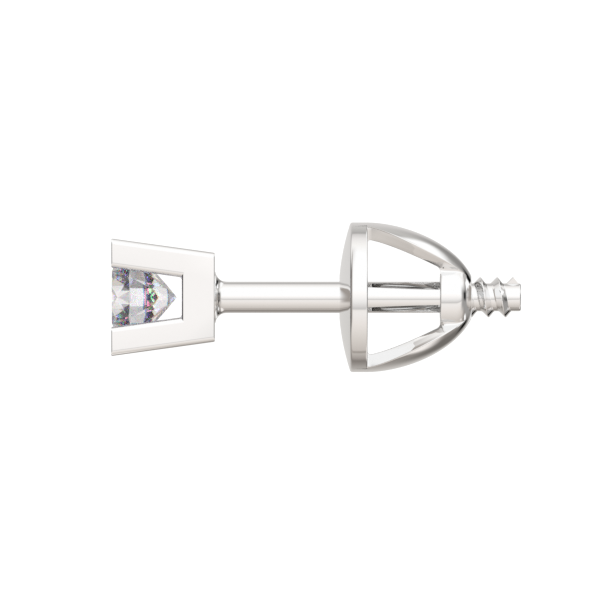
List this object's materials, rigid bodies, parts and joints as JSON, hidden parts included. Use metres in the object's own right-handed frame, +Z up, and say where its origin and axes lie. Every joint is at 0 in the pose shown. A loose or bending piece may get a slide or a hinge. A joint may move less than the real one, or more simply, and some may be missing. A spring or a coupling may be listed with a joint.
{
  "type": "stud earring",
  "caption": "Screw-back stud earring: a round brilliant in a square four-prong setting on a threaded post, with a domed disc nut whose open bell runs on the thread.",
  "frame": {"origin": "on the surface that the earring lies on, under the middle of its box", "axes": "+X towards the tip of the post, as it lies on the surface; +Z up; the earring's own axis rises 3.9 degrees towards +X"},
  "size_m": [0.0138, 0.005, 0.005],
  "materials": {
    "setting_metal": "mirror-polished rhodium-plated white gold",
    "nut_metal": "mirror-polished rhodium-plated white gold",
    "stone": "clear cut and polished stone"
  },
  "bodies": {
    "earring": {"setting_with_post": "setting_metal", "stone": "stone"},
    "nut": {"screw_nut": "nut_metal"}
  },
  "joints": [
    {"name": "nut_off_post", "type": "slide", "parent": "earring", "child": "nut", "axis": [0.9977, 0, 0.0681], "range_m": [0, 0.00615]}
  ]
}
